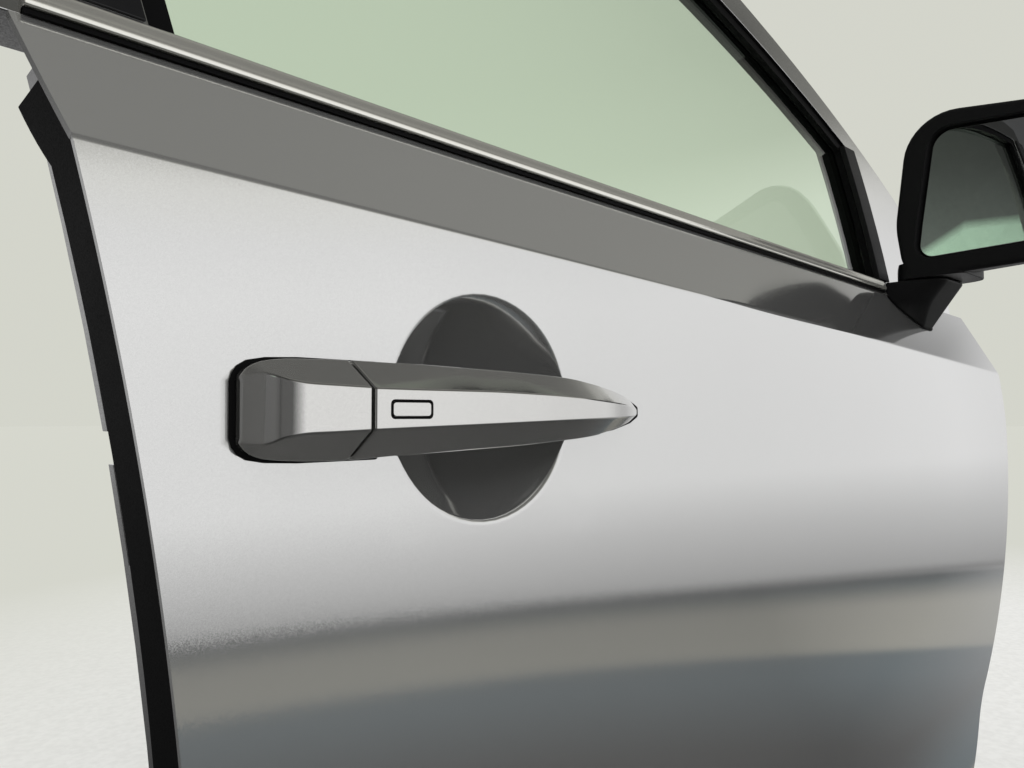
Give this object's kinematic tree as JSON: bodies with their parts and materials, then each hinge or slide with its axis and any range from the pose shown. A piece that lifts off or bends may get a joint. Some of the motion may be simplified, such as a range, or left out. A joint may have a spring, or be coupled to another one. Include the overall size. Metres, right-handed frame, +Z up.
{
  "type": "front right-hand car door",
  "caption": "Framed car side door with fixed side glass, pull handle, folding door mirror, inner trim and pillar hinges; shuts a cabin's side opening.",
  "frame": {"origin": "middle of the upper hinge's two pillar bolts, on the leaf's face that meets the pillar", "axes": "+X towards the car's front, +Y inboard towards the car's middle, +Z up"},
  "size_m": [1.248, 0.3802, 1.071],
  "materials": {
    "body_paint": "metallic clear coat",
    "handle_paint": "metallic clear coat",
    "frame_paint": "metallic clear coat",
    "seal_rubber": "matt",
    "side_glass": "tinted",
    "bright_trim": "satin",
    "gloss_black": "gloss",
    "satin_black": "fine grain",
    "mirror_silver": "polished",
    "steel": "zinc plated",
    "trim_plastic": "grained",
    "trim_soft": "soft grain",
    "satin_metal": "satin"
  },
  "bodies": {
    "pillar_leaves": {"hinge_upper_body_leaf": "steel", "hinge_lower_body_leaf": "steel"},
    "door": {"outer_skin": "body_paint", "inner_shell": "frame_paint", "window_frame": "frame_paint", "run_channel": "seal_rubber", "window_glass": "side_glass", "frame_seal": "seal_rubber", "front_post": "satin_black", "pillar_garnish": "gloss_black", "belt_moulding": "bright_trim", "belt_seal_outer": "seal_rubber", "belt_seal_inner": "seal_rubber", "rear_edge_seal": "seal_rubber", "perimeter_seal": "seal_rubber", "latch": "steel", "handle_cap": "handle_paint", "handle_cap_gasket": "seal_rubber", "handle_tip_gasket": "seal_rubber", "handle_pivot_bracket": "satin_black", "hinge_upper_door_leaf": "steel", "hinge_lower_door_leaf": "steel", "mirror_foot": "satin_black", "mirror_foot_gasket": "seal_rubber", "trim_panel": "trim_plastic", "trim_upper": "trim_soft", "armrest": "trim_soft", "switch_panel": "gloss_black", "window_switches": "satin_black", "inner_release_bezel": "satin_black", "inner_release_lever": "satin_metal", "speaker_grille": "satin_black", "map_pocket": "trim_plastic", "sail_trim_inner": "satin_black"},
    "handle": {"handle_grip": "handle_paint", "handle_grip_liner": "satin_black", "request_button": "handle_paint"},
    "mirror": {"mirror_housing": "satin_black", "mirror_cap": "handle_paint", "mirror_glass": "mirror_silver", "mirror_glass_carrier": "satin_black", "mirror_pivot_bush": "satin_black"}
  },
  "joints": [
    {"name": "door_swing", "type": "hinge", "parent": "pillar_leaves", "child": "door", "pos_m": [-0.038, -0.028, 0], "axis": [0, 0, 1], "range_deg": [0, 66]},
    {"name": "handle_pull", "type": "hinge", "parent": "door", "child": "handle", "pos_m": [-0.815, -0.071, -0.045], "axis": [0, 0, 1], "range_deg": [0, 11], "stiffness_Nm_per_rad": 6},
    {"name": "mirror_fold", "type": "hinge", "parent": "door", "child": "mirror", "pos_m": [-0.264, -0.076, 0.105], "axis": [0, 0, 1], "range_deg": [-60, 45]}
  ]
}
